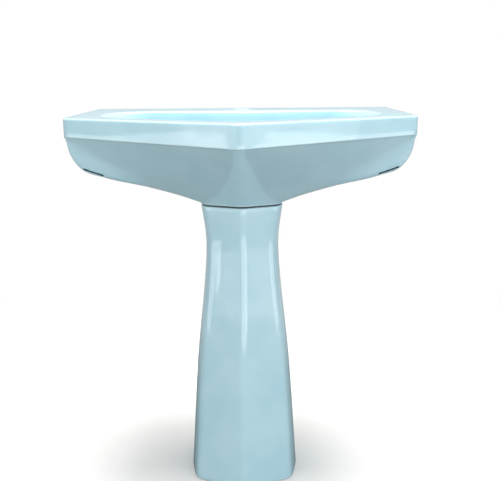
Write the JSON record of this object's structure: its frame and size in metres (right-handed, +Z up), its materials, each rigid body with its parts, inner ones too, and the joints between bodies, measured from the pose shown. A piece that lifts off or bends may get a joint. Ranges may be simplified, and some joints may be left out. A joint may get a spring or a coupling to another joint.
{
  "type": "pedestal sink",
  "caption": "Pedestal sink in pale blue vitreous china: broad pointed basin with a faceted hull on a tapered ridged pedestal, with its waste, lift-out plug, bottle trap and fixings.",
  "frame": {"origin": "on the floor under the middle of the basin's box", "axes": "+X to the right of someone facing the sink, +Y towards the wall behind it, +Z up"},
  "size_m": [0.69, 0.53, 0.8],
  "materials": {
    "china": "glossy pale blue glaze fired on vitreous china",
    "chrome": "polished chrome plate on brass",
    "brass": "plain turned brass",
    "zinc_steel": "zinc plated steel",
    "rubber": "black moulded rubber",
    "nylon": "white moulded nylon"
  },
  "bodies": {
    "sink": {"basin": "china", "floor_screw_left": "zinc_steel", "floor_screw_right": "zinc_steel", "outlet_tube": "chrome", "pedestal": "china", "screw_cap_left": "nylon", "screw_cap_right": "nylon", "screw_washer_left": "nylon", "screw_washer_right": "nylon", "seat_cushion": "rubber", "stud_bush_left": "nylon", "stud_bush_right": "nylon", "stud_nut_left": "zinc_steel", "stud_nut_right": "zinc_steel", "trap_body": "chrome", "trap_cup": "chrome", "trap_cup_seal": "rubber", "trap_inlet_nut": "chrome", "trap_inlet_washer": "rubber", "trap_outlet_nut": "chrome", "trap_outlet_washer": "rubber", "wall_flange": "chrome", "wall_stud_left": "zinc_steel", "wall_stud_right": "zinc_steel", "waste_backnut": "brass", "waste_body": "chrome", "waste_flange_seal": "rubber", "waste_lower_washer": "rubber"},
    "plug": {"plug_body": "chrome", "plug_seal": "rubber", "plug_knob": "chrome"}
  },
  "joints": [
    {"name": "plug_lift", "type": "slide", "parent": "sink", "child": "plug", "axis": [0, 0, 1], "range_m": [0, 0.16]}
  ]
}
